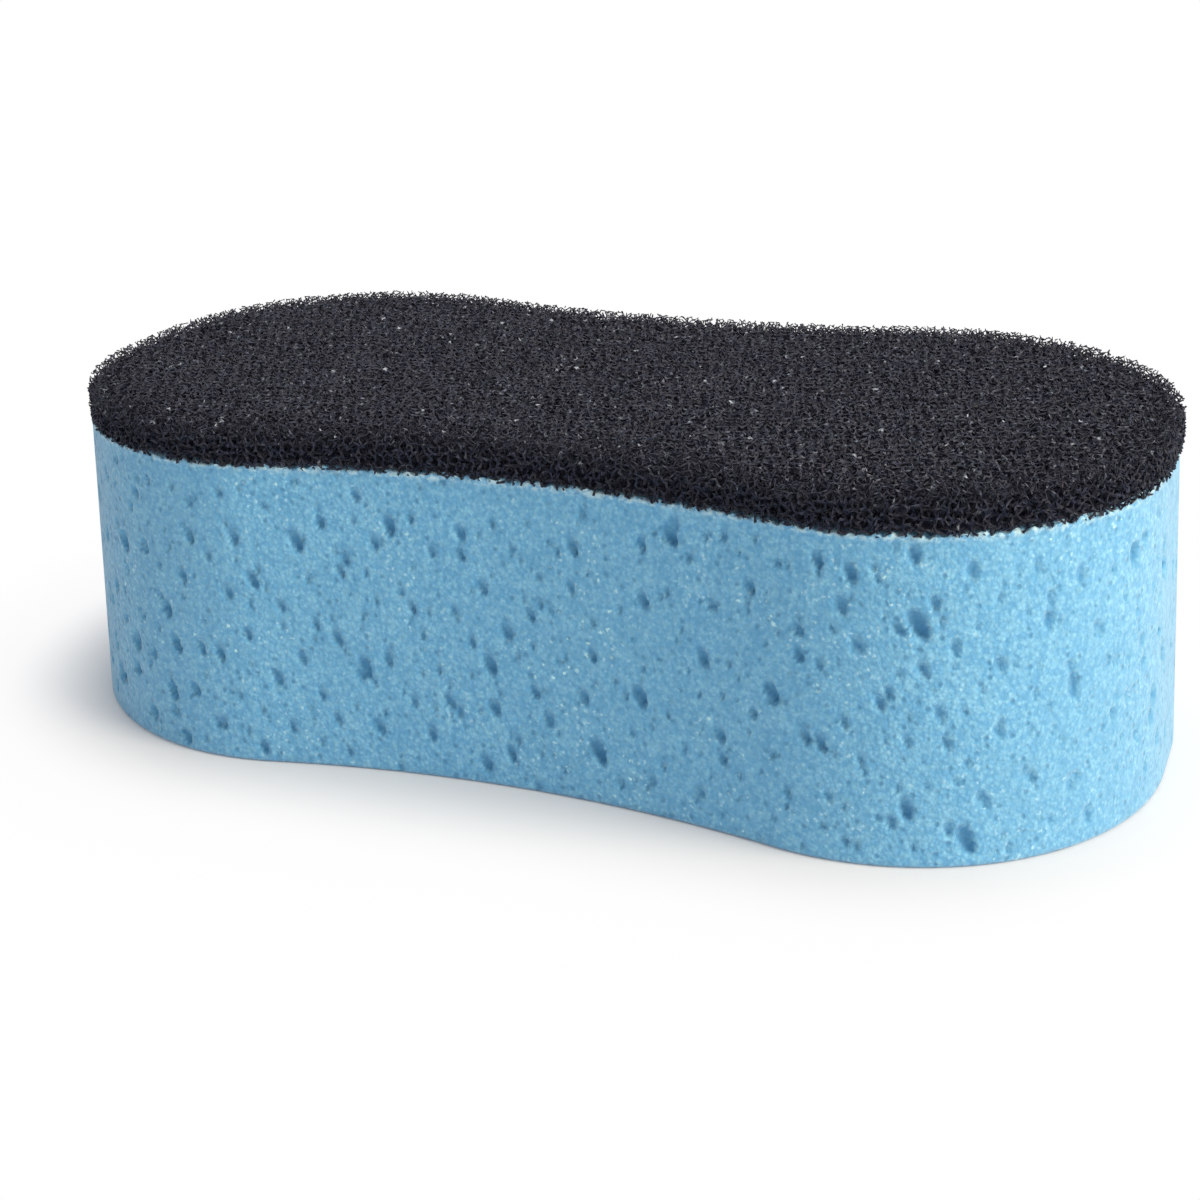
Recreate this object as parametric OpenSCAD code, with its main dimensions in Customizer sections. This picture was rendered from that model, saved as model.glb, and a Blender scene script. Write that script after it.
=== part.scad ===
// Waisted wash sponge: a block of soft foam with a thin open-cell scrub pad bonded on top.
// The origin is the middle of the base, +X runs along the length and +Z points up. Sizes are in millimetres.

/* [Foam body] */
// Length over the end curves, at the base
foam_l = 200; // [180:1:240]
// Width over the lobes, at the base
foam_w = 100; // [92:1:108]
// How far each long side dips in at the waist
waist_dip = 6; // [5:0.5:10]
// Length of the straight stretch in the middle of each end
end_flat = 10; // [9:0.5:20]
// Height of the soft foam
foam_h = 54; // [40:0.5:60]
// How far each side leans in from the base to the top of the soft foam
side_lean = 2; // [0.5:0.1:3]

/* [Scrub pad] */
// Thickness of the scrub pad
pad_h = 7; // [4:0.5:12]
// How far the pad stands out past the foam under it
pad_overhang = 0.5; // [0:0.1:1]
// Distance between the open cells along the pad's cut edge
edge_cell_pitch = 4; // [3:0.1:6]
// Depth of the open cells in the pad's cut edge
edge_cell_depth = 0.9; // [0.4:0.1:1.2]
// Number of rows of open cells in the pad's cut edge, under its top layer
edge_cell_rows = 3; // [2:1:4]
// Distance between the open cells in the pad's top
top_cell_pitch = 8; // [7.5:0.5:14]
// Depth of the open cells in the pad's top
top_cell_depth = 0.9; // [0.5:0.1:1.5]

/* [Open pits] */
// Mean distance between the pits round the sides
pit_pitch = 13; // [12:0.5:20]
// Diameter of the smallest pits
pit_d_min = 1.6; // [1.4:0.1:2.2]
// Diameter of the largest pits
pit_d_max = 3; // [2.4:0.1:4]
// Length of a pit as a multiple of its diameter
pit_stretch = 2.2; // [1.6:0.1:2.4]
// Angle between the direction in which the foam rose and the vertical
rise_lean = 22; // [10:1:30]
// Width of the plain band kept clear of pits along each edge
pit_margin = 5; // [4.5:0.5:8]
// Mean distance between the pits in the base
base_pit_pitch = 17; // [15:0.5:30]

/* [Hidden] */

// Radius of the lobes' corners at the base, and centres of the four corner circles
lobe_r = (foam_w - end_flat) / 2;
corner_x = foam_l / 2 - lobe_r;
corner_y = end_flat / 2;
// Radius and centre of the waist circle, which touches the corner circles from outside
waist_r = (pow(corner_x, 2) + pow(lobe_r - waist_dip, 2) - pow(lobe_r, 2)) / (2 * waist_dip);
waist_y = foam_w / 2 - waist_dip + waist_r;
// Direction from a corner circle's centre to the waist circle's centre
waist_angle = atan2(waist_y - corner_y, -corner_x);
// How far two curves that touch are made to cross, so that they meet in one clean line
crossing = 0.02;
// Lengths along a quarter of the outline: half of the straight end, the corner and half of the waist
deg = PI / 180;
corner_arc = lobe_r * waist_angle * deg;
waist_arc = waist_r * (waist_angle - 90) * deg;
quarter = corner_y + corner_arc + waist_arc;

// Share of a turn between one cell and the next, which spreads them evenly and never in rows
golden = (sqrt(5) - 1) / 2;
// How far a cell may stray from its even place, as a share of the distance between cells
scatter = 0.35;
// How deep the middle of a side pit lies under the surface, as a share of its diameter
pit_sink = 0.12;
// Full spread of the pits' lean, in degrees
lean_spread = 16;
// Power that makes small pits common and large ones rare
size_bias = 1.5;
// Flat sides round each pit, like the cells of real foam, and how far along it they reach
cell_sides = 6;
cell_shoulder = 0.45;
// Share of an edge cell's place and depth that is left to chance
edge_scatter = 0.3;
// How far each row of cells in the pad's edge runs into the row above it
row_lap = 0.05;
// Size of the opening of a cell in the pad's top, as a share of the whole cell with its threads
top_cell_open = 0.74;
// Least width of plain foam between those cells and the pad's edge
top_cell_rim = 0.8;
// How far a shape that is cut away later stands out past the cut
past = 2;
// Sides of the drawn circles, which keep the outline within a few hundredths of a true arc
corner_sides = 180;
waist_sides = 720;

// The part of a number after its point
function part_of(v) = v - floor(v);
// A random-looking number from 0 to 1 that depends only on i and k: the far digits of a sine
stride = [37.719, 71.317];
magnify = 9917.31;
function chance(i, k) = part_of(sin(stride * [i, k]) * magnify);

// Place and outward direction on the first quarter of the base outline, s along it from the end's middle
function on_quarter(s) =
    s < corner_y ? [[foam_l / 2, s], [1, 0]]
    : s < corner_y + corner_arc
        ? on_arc([corner_x, corner_y], lobe_r, (s - corner_y) / lobe_r / deg, 1)
        : on_arc([0, waist_y], waist_r, waist_angle - 180 - (s - corner_y - corner_arc) / waist_r / deg, -1);
function on_arc(c, r, a, side) = [c + r * [cos(a), sin(a)], side * [cos(a), sin(a)]];

// The same on the whole outline, s any length along it
function on_outline(s) =
    let (
        turns = floor(s / quarter),
        q = turns % 4,
        t = s - turns * quarter,
        p = on_quarter(q % 2 == 0 ? t : quarter - t),
        flip = [q == 0 || q == 3 ? 1 : -1, q < 2 ? 1 : -1]
    )
    [[p[0][0] * flip[0], p[0][1] * flip[1]], [p[1][0] * flip[0], p[1][1] * flip[1]]];

// A block with the waisted outline, moved out by low at its foot and by high at its top
module waisted_block(h, low, high) {
    difference() {
        union() {
            for (sx = [-1, 1], sy = [-1, 1])
                translate([sx * corner_x, sy * corner_y, 0])
                    cylinder(h = h, r1 = lobe_r + low, r2 = lobe_r + high, $fn = corner_sides);
            rotate([90, 0, 0])
                linear_extrude(height = 2 * corner_y, center = true)
                    polygon(end_profile(h, low - crossing, high - crossing));
            linear_extrude(height = h) polygon(web_outline());
        }
        for (sy = [-1, 1])
            translate([0, sy * waist_y, 0])
                cylinder(h = h, r1 = waist_r + crossing - low, r2 = waist_r + crossing - high, $fn = waist_sides);
    }
}

// Upright section through the straight ends
function end_profile(h, low, high) = [
    [-foam_l / 2 - low, 0], [foam_l / 2 + low, 0], [foam_l / 2 + high, h], [-foam_l / 2 - high, h]
];

// The part between the lobes, before the waist is cut out of it
function web_outline() =
    let (p = [corner_x, corner_y] + (lobe_r + past) * [cos(waist_angle), sin(waist_angle)])
    [
        [corner_x, -corner_y], [corner_x, corner_y], p, [-p[0], p[1]],
        [-corner_x, corner_y], [-corner_x, -corner_y], -p, [p[0], -p[1]]
    ];

// One open cell of the soft foam: a flat-sided bubble with pointed ends, drawn out along the direction of the rise
module pit(d, lean, turn) {
    n = cell_sides;
    half = d * pit_stretch / 2;
    rings = [
        for (z = [-1, 1] * half * cell_shoulder, a = [0:360 / n:359]) [d / 2 * cos(a), d / 2 * sin(a), z]
    ];
    faces = [
        for (j = [0:n - 1])
            let (k = (j + 1) % n)
            each [[2 * n, j, k], [j, j + n, k + n, k], [2 * n + 1, k + n, j + n]]
    ];
    rotate([0, -lean, 0])
        rotate([0, 0, turn])
            polyhedron(concat(rings, [[0, 0, -half], [0, 0, half]]), faces);
}

// Diameter of pit k, with many small ones and few large ones, and how far it leans
function pit_d(k) = pit_d_min + (pit_d_max - pit_d_min) * pow(chance(k, 3), size_bias);
function pit_lean(k) = rise_lean + lean_spread * (chance(k, 4) - 0.5);
function pit_turn(k) = 90 * chance(k, 6);

// Pits that the knife opened in the side, spread evenly round the block and clear of both edges
module side_pits() {
    clear_h = foam_h - 2 * pit_margin;
    count = round(4 * quarter * clear_h / pow(pit_pitch, 2));
    for (k = [1:count]) {
        stray = scatter * pit_pitch * [chance(k, 1) - 0.5, chance(k, 2) - 0.5];
        z = pit_margin + max(0, min(clear_h, clear_h * part_of(k * golden) + stray[1]));
        at = on_outline(4 * quarter * k / count + stray[0]);
        place = at[0] - at[1] * (side_lean * z / foam_h + pit_sink * pit_d(k));
        translate([place[0], place[1], z]) pit(pit_d(k), pit_lean(k), pit_turn(k));
    }
}

// Half the width of the base at x
function half_width(x) =
    abs(x) < corner_x + lobe_r * cos(waist_angle)
        ? waist_y - sqrt(pow(waist_r, 2) - x * x)
        : corner_y + sqrt(pow(lobe_r, 2) - pow(abs(x) - corner_x, 2));

// Places spread evenly over the base, pitch apart and at least margin inside its edge
function spread(pitch, margin, key) =
    let (count = round(foam_l * foam_w / pow(pitch, 2)))
    [
        for (k = [1:count])
            let (
                x = ((k - 0.5) / count - 0.5) * foam_l + scatter * pitch * (chance(k, key) - 0.5),
                y = (part_of(k * golden) - 0.5) * foam_w + scatter * pitch * (chance(k, key + 1) - 0.5)
            )
            if (abs(x) + margin < foam_l / 2 && abs(y) + margin < half_width(abs(x) + margin)) [x, y, k]
    ];

// Pits that the knife opened in the base
module base_pits() {
    for (p = spread(base_pit_pitch, pit_margin, 7))
        translate([p[0], p[1], 0]) pit(pit_d(p[2]), pit_lean(p[2]), pit_turn(p[2]));
}

module foam_body() {
    color([0.45, 0.68, 0.82])
        difference() {
            waisted_block(foam_h, 0, -side_lean);
            side_pits();
            base_pits();
        }
}

// Outline of one row of cut cells along the pad's edge: the tips of the foam's threads, and the open cells between
function ragged_outline(row, inset) =
    let (
        cells = round(4 * quarter / edge_cell_pitch),
        step = 4 * quarter / cells
    )
    [
        for (i = [0:cells - 1], cell = [0, 1])
            let (
                at = on_outline((i + cell / 2 + edge_scatter * chance(i, 2 * row + cell) + row / 2) * step),
                deep = edge_cell_depth * ((1 - edge_scatter) * cell + edge_scatter * chance(i, row + 5))
            )
            at[0] - at[1] * (inset + deep)
    ];

// How far a place lies inside the base outline
function inside_by(p) =
    let (x = abs(p[0]), y = abs(p[1]), a = atan2(y - corner_y, x - corner_x))
    x > corner_x && y < corner_y ? foam_l / 2 - x
    : y >= corner_y && a < waist_angle ? lobe_r - norm([x - corner_x, y - corner_y])
    : norm([x, y - waist_y]) - waist_r;

// Middles of the cells in the pad's top: a three-way grid, each a little out of place. The rows of the grid are
// numbered row_key apart, so that no two cells share a number.
row_key = 97;
function top_middle(c) =
    let (
        k = c[0] + row_key * c[1],
        stray = scatter * [chance(k, 11) - 0.5, chance(k, 12) - 0.5]
    )
    top_cell_pitch * ([c[0] + c[1] / 2, c[1] * sqrt(3) / 2] + stray);

// Opening of one such cell. Its corners lie amid the middles of three cells, and are drawn in to leave threads.
six_ways = [[1, 0], [0, 1], [-1, 1], [-1, 0], [0, -1], [1, -1]];
function top_opening(c) =
    let (
        m = top_middle(c),
        near = [for (way = six_ways) top_middle(c + way)],
        n = len(near)
    )
    [for (k = [0:n - 1]) m + top_cell_open * ((m + near[k] + near[(k + 1) % n]) / 3 - m)];

module top_openings() {
    rows = ceil(foam_w / top_cell_pitch);
    columns = ceil(foam_l / top_cell_pitch);
    for (j = [-rows:rows], i = [-columns:columns]) {
        opening = top_opening([i, j]);
        edge = side_lean - pad_overhang + edge_cell_depth + top_cell_rim;
        if (min([for (p = opening) inside_by(p)]) > edge) polygon(opening);
    }
}

module scrub_pad() {
    row_h = (pad_h - top_cell_depth) / edge_cell_rows;
    inset = side_lean - pad_overhang;
    color([0.16, 0.16, 0.19]) {
        for (row = [0:edge_cell_rows - 1])
            translate([0, 0, foam_h + row * row_h])
                linear_extrude(height = row_h + row_lap) polygon(ragged_outline(row, inset));
        translate([0, 0, foam_h + pad_h - top_cell_depth])
            linear_extrude(height = top_cell_depth)
                difference() {
                    polygon(ragged_outline(edge_cell_rows, inset));
                    top_openings();
                }
    }
}

foam_body();
scrub_pad();
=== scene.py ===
"""Waisted wash sponge: a block of soft foam with open pits under a black pad of open-cell foam."""

import bpy
import numpy as np
from mathutils import Matrix, Vector


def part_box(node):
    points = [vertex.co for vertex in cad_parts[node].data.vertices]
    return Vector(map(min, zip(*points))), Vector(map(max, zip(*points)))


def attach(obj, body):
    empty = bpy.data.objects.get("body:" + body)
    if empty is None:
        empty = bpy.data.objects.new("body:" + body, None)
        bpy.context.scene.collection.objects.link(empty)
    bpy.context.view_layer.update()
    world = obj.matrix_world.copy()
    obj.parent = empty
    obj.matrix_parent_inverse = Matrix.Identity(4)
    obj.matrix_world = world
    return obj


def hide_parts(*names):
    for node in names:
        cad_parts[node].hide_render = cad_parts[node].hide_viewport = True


bl_info = {
    "name": "Waisted wash sponge",
    "version": (1, 0, 0),
    "blender": (4, 5, 0),
    "location": "3D View > Sidebar > Sponge",
    "description": "Builds a waisted sponge of soft foam with a scrub pad of open-cell foam",
    "category": "Add Mesh",
}

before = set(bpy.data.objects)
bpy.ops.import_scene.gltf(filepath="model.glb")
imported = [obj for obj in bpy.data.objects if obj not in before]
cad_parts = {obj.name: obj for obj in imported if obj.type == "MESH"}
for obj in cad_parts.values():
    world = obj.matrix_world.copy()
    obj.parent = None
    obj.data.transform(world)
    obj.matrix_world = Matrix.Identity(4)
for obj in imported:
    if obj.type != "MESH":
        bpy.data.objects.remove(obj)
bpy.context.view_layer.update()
FOAM_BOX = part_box("foam_body")
PAD_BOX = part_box("scrub_pad")

# The formulas work in millimetres, and meshes and Object coordinates are in metres
MM = 0.001
# Share of a turn between one cell and the next, which spreads them evenly and never in rows
GOLDEN = (5 ** 0.5 - 1) / 2
# Columns and rows of the foam's side, columns and rings of its base, and columns of the pad's dark inside
SIDE_COLUMNS, SIDE_ROWS = 880, 90
BASE_COLUMNS, BASE_RINGS = 360, 40
CORE_COLUMNS = 600
# Most faces in one piece of the net, and faces in one thread
NET_FACES = 190000
THREAD_FACES = 4
# Half the floor's side, and its height, a hair under the sponge
FLOOR_REACH, FLOOR_HEIGHT = 6000.0, -0.05


# Formulas

def chance(i, key):
    """Random-looking numbers from 0 to 1 that depend only on i and key: the far digits of a sine."""
    far = np.sin(np.radians(np.asarray(i, float) * 37.719 + key * 71.317)) * 9917.31
    return far - np.floor(far)


def scattered(points, key):
    """One random-looking number from 0 to 1 for each point, the same wherever that point is met again."""
    far = np.sin(np.round(points, 3) @ (np.array([12.9898, 78.233, 37.719]) + key)) * 43758.5453
    return far - np.floor(far)


def ripple(points, size, key=0.0):
    """Smooth noise from -1 to 1 with lumps of about that size: three sines, each bent by the next axis."""
    x, y, z = (points / size * 2.4).T
    a = np.sin(x + 1.3 * np.sin(1.7 * y + key))
    b = np.sin(1.3 * y + 1.1 * np.sin(1.9 * z + 2.1 * key))
    c = np.sin(1.1 * z + 1.2 * np.sin(1.5 * x + 3.7 * key))
    return ((a + b + c) / 3).T


def ramp(value, low, high):
    """0 up to low, 1 from high, and a smooth S between them. It falls where low is above high."""
    t = np.clip((value - low) / (high - low), 0, 1)
    return t * t * (3 - 2 * t)


class Outline:
    """Outline of the base: two lobes with a short straight end, and a shallow waist on each long side."""

    def __init__(self, length, width, dip, flat):
        self.length = length
        self.lobe = (width - flat) / 2
        self.cx = length / 2 - self.lobe
        self.cy = flat / 2
        self.waist = (self.cx ** 2 + (self.lobe - dip) ** 2 - self.lobe ** 2) / (2 * dip)
        self.wy = width / 2 - dip + self.waist
        self.turn = np.arctan2(self.wy - self.cy, -self.cx)
        self.corner = self.lobe * self.turn
        self.quarter = self.cy + self.corner + self.waist * (self.turn - np.pi / 2)
        self.around = 4 * self.quarter

    def at(self, s):
        """Places and outward directions, s along the outline from the middle of the right end.

        A quarter is half of the straight end, the lobe's arc and half of the waist's arc. The others
        mirror it.
        """
        turns = np.floor(s / self.quarter)
        q = turns % 4
        t = s - turns * self.quarter
        t = np.where(q % 2 == 0, t, self.quarter - t)
        lobe = (t - self.cy) / self.lobe
        waist = self.turn - np.pi - (t - self.cy - self.corner) / self.waist
        parts = [t < self.cy, t < self.cy + self.corner]
        lobe_x = self.cx + self.lobe * np.cos(lobe)
        lobe_y = self.cy + self.lobe * np.sin(lobe)
        x = np.select(parts, [self.length / 2, lobe_x], self.waist * np.cos(waist))
        y = np.select(parts, [t, lobe_y], self.wy + self.waist * np.sin(waist))
        nx = np.select(parts, [1.0, np.cos(lobe)], -np.cos(waist))
        ny = np.select(parts, [0.0, np.sin(lobe)], -np.sin(waist))
        fx = np.where((q == 0) | (q == 3), 1, -1)
        fy = np.where(q < 2, 1, -1)
        return np.stack([x * fx, y * fy], -1), np.stack([nx * fx, ny * fy], -1)

    def inset(self, x, y):
        """Distance of a place inside the outline, measured from its straight end, its lobe or its waist."""
        x = np.abs(x)
        y = np.abs(y)
        lobe = self.lobe - np.hypot(x - self.cx, y - self.cy)
        waist = np.hypot(x, y - self.wy) - self.waist
        angle = np.arctan2(y - self.cy, x - self.cx)
        side = np.where(angle < self.turn, lobe, waist)
        low = np.where(x > self.cx, self.length / 2 - x, waist)
        return np.where(y < self.cy, low, side)

    def half_width(self, x):
        """Half the width of the outline at x."""
        x = np.abs(x)
        lobe = self.cy + np.sqrt(np.maximum(self.lobe ** 2 - (x - self.cx) ** 2, 0))
        waist = self.wy - np.sqrt(self.waist ** 2 - x * x)
        return np.where(x < self.cx + self.lobe * np.cos(self.turn), waist, lobe)


class Pits:
    """Large foam cells that the knife opened: long bubbles with a middle, radius, half length and lean."""

    def __init__(self, middle, diameter, stretch, lean):
        self.middle = middle
        self.radius = diameter / 2
        self.half = diameter * stretch / 2
        angle = np.radians(lean)
        self.axis = np.stack([-np.sin(angle), np.zeros_like(angle), np.cos(angle)], -1)

    def near(self, k, points):
        """Which points lie near pit k."""
        return np.flatnonzero((np.abs(points - self.middle[k]) < 1.25 * self.half[k]).all(1))

    def scaled(self, k, vectors):
        """Vectors in the pit's own measure, in which the bubble is a ball of radius 1."""
        along = vectors @ self.axis[k]
        across = vectors - along[..., None] * self.axis[k]
        return across / self.radius[k] + (along / self.half[k])[..., None] * self.axis[k]

    def fill(self, k, points):
        """Below 1 inside the bubble and 1 on its wall, which is bent out of round by smooth noise."""
        own = self.scaled(k, points - self.middle[k])
        bend = 1 + 0.3 * ripple(points, 0.8 * self.half[k] + 0.4, k * 0.7)
        return own, (own ** 2).sum(1) * bend


def joined(groups):
    """Several groups of pits as one."""
    whole = Pits(np.zeros((0, 3)), np.zeros(0), 1, np.zeros(0))
    for name in ("middle", "radius", "half", "axis"):
        setattr(whole, name, np.concatenate([getattr(g, name) for g in groups]))
    return whole


def rim_shift(points, along, up, pits, reach):
    """How far each grid point moves along the surface to lie on the nearest pit's rim, and which pit that is.

    Only points closer to a rim than reach move, so that every pit is cut with a crisp edge.
    """
    best = np.full(len(points), reach)
    shift = np.zeros((len(points), 2))
    owner = np.full(len(points), -1)
    for k in range(len(pits.radius)):
        i = pits.near(k, points)
        own, fill = pits.fill(k, points[i])
        slope = 2 * np.stack([(own * pits.scaled(k, way[i])).sum(1) for way in (along, up)], -1)
        steep = np.maximum(np.linalg.norm(slope, axis=1), 1e-6)
        gap = (fill - 1) / steep
        take = np.abs(gap) < best[i]
        j = i[take]
        best[j] = np.abs(gap[take])
        shift[j] = -(gap / steep)[take, None] * slope[take]
        owner[j] = k
    return shift, owner


def pit_depth(points, outward, pits, owner):
    """How far each point is pushed in: the depth of the pit that it lies in, measured straight in.

    A pit is deepest and crisp at its foot and runs out softly at its top.
    """
    depth = np.zeros(len(points))
    for k in range(len(pits.radius)):
        i = pits.near(k, points)
        own, fill = pits.fill(k, points[i])
        inward = pits.scaled(k, outward[i])
        size = (inward ** 2).sum(1)
        half = (own * inward).sum(1)
        reach = (half + np.sqrt(half ** 2 + size * np.maximum(1 - fill, 0))) / size
        up = (own * pits.axis[k]).sum(1)
        reach *= (0.75 - 0.45 * up) * ramp(1 - fill, 0, np.maximum(0.4 + 0.35 * up, 0.1))
        inside = (fill < 1) & (owner[i] != k)
        depth[i] = np.where(inside, np.maximum(depth[i], reach), depth[i])
    return depth


def grid_faces(rows, columns):
    """Quads of a grid of rows and columns that closes on itself along the rows."""
    r, c = np.meshgrid(np.arange(rows - 1), np.arange(columns), indexing="ij")
    n = (c + 1) % columns
    quads = np.stack([r * columns + c, r * columns + n, (r + 1) * columns + n, (r + 1) * columns + c], -1)
    return quads.reshape(-1, 4)


def bridge_faces(columns):
    """Quads that close a ring by joining each point to its mirror image across the middle line."""
    j = np.arange(columns // 2)
    return np.stack([j, j + 1, (columns - j - 1) % columns, (columns - j) % columns], -1)[1:-1]


def zip_faces(a, b):
    """Triangles between two closed rings, given as places along the outline: each edge meets the other ring.

    An edge of one ring joins the last point of the other ring that comes before the edge's end.
    """
    i = np.arange(len(a))
    j = np.arange(len(b))
    end_a = np.append(a[1:], np.inf)
    end_b = np.append(b[1:], np.inf)
    of_a = np.searchsorted(end_b, end_a, side="left")
    of_b = np.searchsorted(end_a, end_b, side="right")
    of_a[-1] = len(b) - 1
    of_b[-1] = 0
    low = np.stack([i, (i + 1) % len(a), len(a) + of_a % len(b)], -1)
    high = np.stack([len(a) + (j + 1) % len(b), len(a) + j, of_b % len(a)], -1)
    return np.concatenate([low, high])


def mesh_piece(name, points, polygons, smooth=True, values=None):
    """A new object at the origin from points in millimetres and face arrays, with values on its points."""
    mesh = bpy.data.meshes.new(name)
    corners = np.concatenate([p.ravel() for p in polygons]).astype(np.int32)
    sizes = np.concatenate([np.full(len(p), p.shape[1]) for p in polygons]).astype(np.int32)
    mesh.vertices.add(len(points))
    mesh.vertices.foreach_set("co", (points * MM).astype(np.float32).ravel())
    mesh.loops.add(len(corners))
    mesh.loops.foreach_set("vertex_index", corners)
    mesh.polygons.add(len(sizes))
    mesh.polygons.foreach_set("loop_start", np.concatenate([[0], np.cumsum(sizes)[:-1]]).astype(np.int32))
    mesh.polygons.foreach_set("use_smooth", np.full(len(sizes), smooth))
    for key, value in (values or {}).items():
        mesh.attributes.new(key, "FLOAT", "POINT").data.foreach_set("value", value.astype(np.float32))
    mesh.update(calc_edges=True)
    if mesh.validate():
        raise RuntimeError(f"{name} has faces that Blender had to mend")
    piece = bpy.data.objects.new(name, mesh)
    bpy.context.collection.objects.link(piece)
    return piece


# Shapes

def large_sizes(s, k):
    """Diameters of the large pits: most are small, and few are near the largest."""
    return s["pit_min"] + (s["pit_max"] - s["pit_min"]) * chance(k, 3) ** 1.5


def large_pits(s, k, places):
    """The large pits of those numbers, at their places."""
    return Pits(places, large_sizes(s, k), s["stretch"], s["rise"] + 16 * (chance(k, 4) - 0.5))


def side_pits(outline, s):
    """The large pits round the side, where the solid has them, and smaller ones between them."""
    clear = s["height"] - 2 * s["margin"]
    count = round(outline.around * clear / s["pit_pitch"] ** 2)
    k = np.arange(1, count + 1)
    d = large_sizes(s, k)
    stray = 0.35 * s["pit_pitch"] * (np.stack([chance(k, 1), chance(k, 2)], -1) - 0.5)
    z = s["margin"] + np.clip(clear * (k * GOLDEN % 1) + stray[:, 1], 0, clear)
    place, out = outline.at(outline.around * k / count + stray[:, 0])
    place = place - out * (s["lean"] * z / s["height"] + 0.12 * d)[:, None]
    groups = [large_pits(s, k, np.column_stack([place, z]))]
    for pitch, low, high, key in ((8.0, 1.1, 2.3, 20), (6.0, 0.8, 1.3, 40)):
        count = round(outline.around * s["height"] / pitch ** 2)
        k = np.arange(1, count + 1)
        d = low + (high - low) * chance(k, key) ** 1.3
        z = 1 + (s["height"] - 2.2) * ((k * GOLDEN + 0.31 * key) % 1)
        z = z + pitch * 0.5 * (chance(k, key + 1) - 0.5)
        place, out = outline.at(outline.around * (k + 1.2 * chance(k, key + 2)) / count)
        place = place - out * (s["lean"] * z / s["height"] + 0.1 * d * chance(k, key + 3))[:, None]
        lean = s["rise"] + 26 * (chance(k, key + 4) - 0.5)
        groups.append(Pits(np.column_stack([place, z]), d, 1.9, lean))
    return joined(groups)


def base_pits(outline, s):
    """The pits in the base, where the solid has them."""
    pitch = s["base_pitch"]
    count = round(outline.length * (2 * (outline.lobe + outline.cy)) / pitch ** 2)
    k = np.arange(1, count + 1)
    x = ((k - 0.5) / count - 0.5) * outline.length + 0.35 * pitch * (chance(k, 7) - 0.5)
    y = (k * GOLDEN % 1 - 0.5) * 2 * (outline.lobe + outline.cy) + 0.35 * pitch * (chance(k, 8) - 0.5)
    m = s["margin"]
    keep = (np.abs(x) + m < outline.length / 2) & (np.abs(y) + m < outline.half_width(np.abs(x) + m))
    k = k[keep]
    return large_pits(s, k, np.column_stack([x[keep], y[keep], 0 * k]))


def foam_side(outline, s, columns, rows):
    """Side of the foam: the outline carried up with its lean, pits pushed in, and a soft lip under the pad.

    The columns crowd a little where the side faces right and front. Each pit's rim draws the points nearest
    to it, except in the bands along both edges. Returns places and pit depths, row by row, and the places of
    the columns along the outline.
    """
    even = np.linspace(0, outline.around, 4001)
    _, out = outline.at(even)
    crowd = np.cumsum(1 + 0.16 * (0.4 * out[:, 0] - 0.92 * out[:, 1]))
    crowd = (crowd - crowd[0]) / (crowd[-1] - crowd[0])
    u = np.interp(np.arange(columns) / columns, crowd, even)
    round_edge = 0.7
    foot = round_edge * (1 - np.cos(np.radians([0, 40])))
    z = np.concatenate([foot, np.linspace(round_edge, s["height"], rows - 2)])
    v, u = np.meshgrid(z, u, indexing="ij")
    u = u.ravel()
    v = v.ravel()
    place, out = outline.at(u)
    lean = s["lean"] / s["height"]
    points = np.column_stack([place - out * (lean * v)[:, None], v])
    along = np.column_stack([-out[:, 1], out[:, 0], 0 * v])
    up = np.column_stack([-lean * out, 1 + 0 * v])
    pits = side_pits(outline, s)
    step = 0.46 * min(outline.around / columns, s["height"] / rows)
    shift, owner = rim_shift(points, along, up, pits, step)
    band = 0.9
    held = (v < band) | (v > s["height"] - band)
    shift[held] = 0
    owner[held] = -1
    u = u + shift[:, 0]
    v = v + shift[:, 1]
    place, out = outline.at(u)
    points = np.column_stack([place - out * (lean * v)[:, None], v])
    depth = pit_depth(points, np.column_stack([out, 0 * v]), pits, owner)
    # Pits run out before both edges, and are a little shallower on the right end
    depth *= ramp(v, 0.0, band) * (1 - ramp(v, s["height"] - 0.8, s["height"] - 0.1))
    depth *= 1 - 0.25 * ramp(points[:, 0], 60, 97)
    low = np.clip(1 - v / round_edge, 0, 1)
    rounding = round_edge * (1 - np.sqrt(1 - low ** 2))
    # The lip swells out under the pad, in fine and broad lumps, and less on the left end
    lip = ramp(v, s["height"] - 1.3, s["height"] - 0.3)
    lip = lip * (0.26 + 0.32 * ripple(points, 1.2) + 0.26 * ripple(points, 3.6, 2.0))
    lip *= 1 - 0.6 * ramp(-points[:, 0], 65, 95)
    points[:, :2] -= out * (depth + rounding - lip)[:, None]
    # The cut edge under the pad goes up and down a little
    flat = points * [1, 1, 0]
    wave = 0.5 * ripple(flat, 1.2, 5.0) + 0.3 * ripple(flat, 4.5, 3.0)
    points[:, 2] += ramp(v, s["height"] - 1.2, s["height"]) * wave
    return points, depth, u[:columns]


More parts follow.
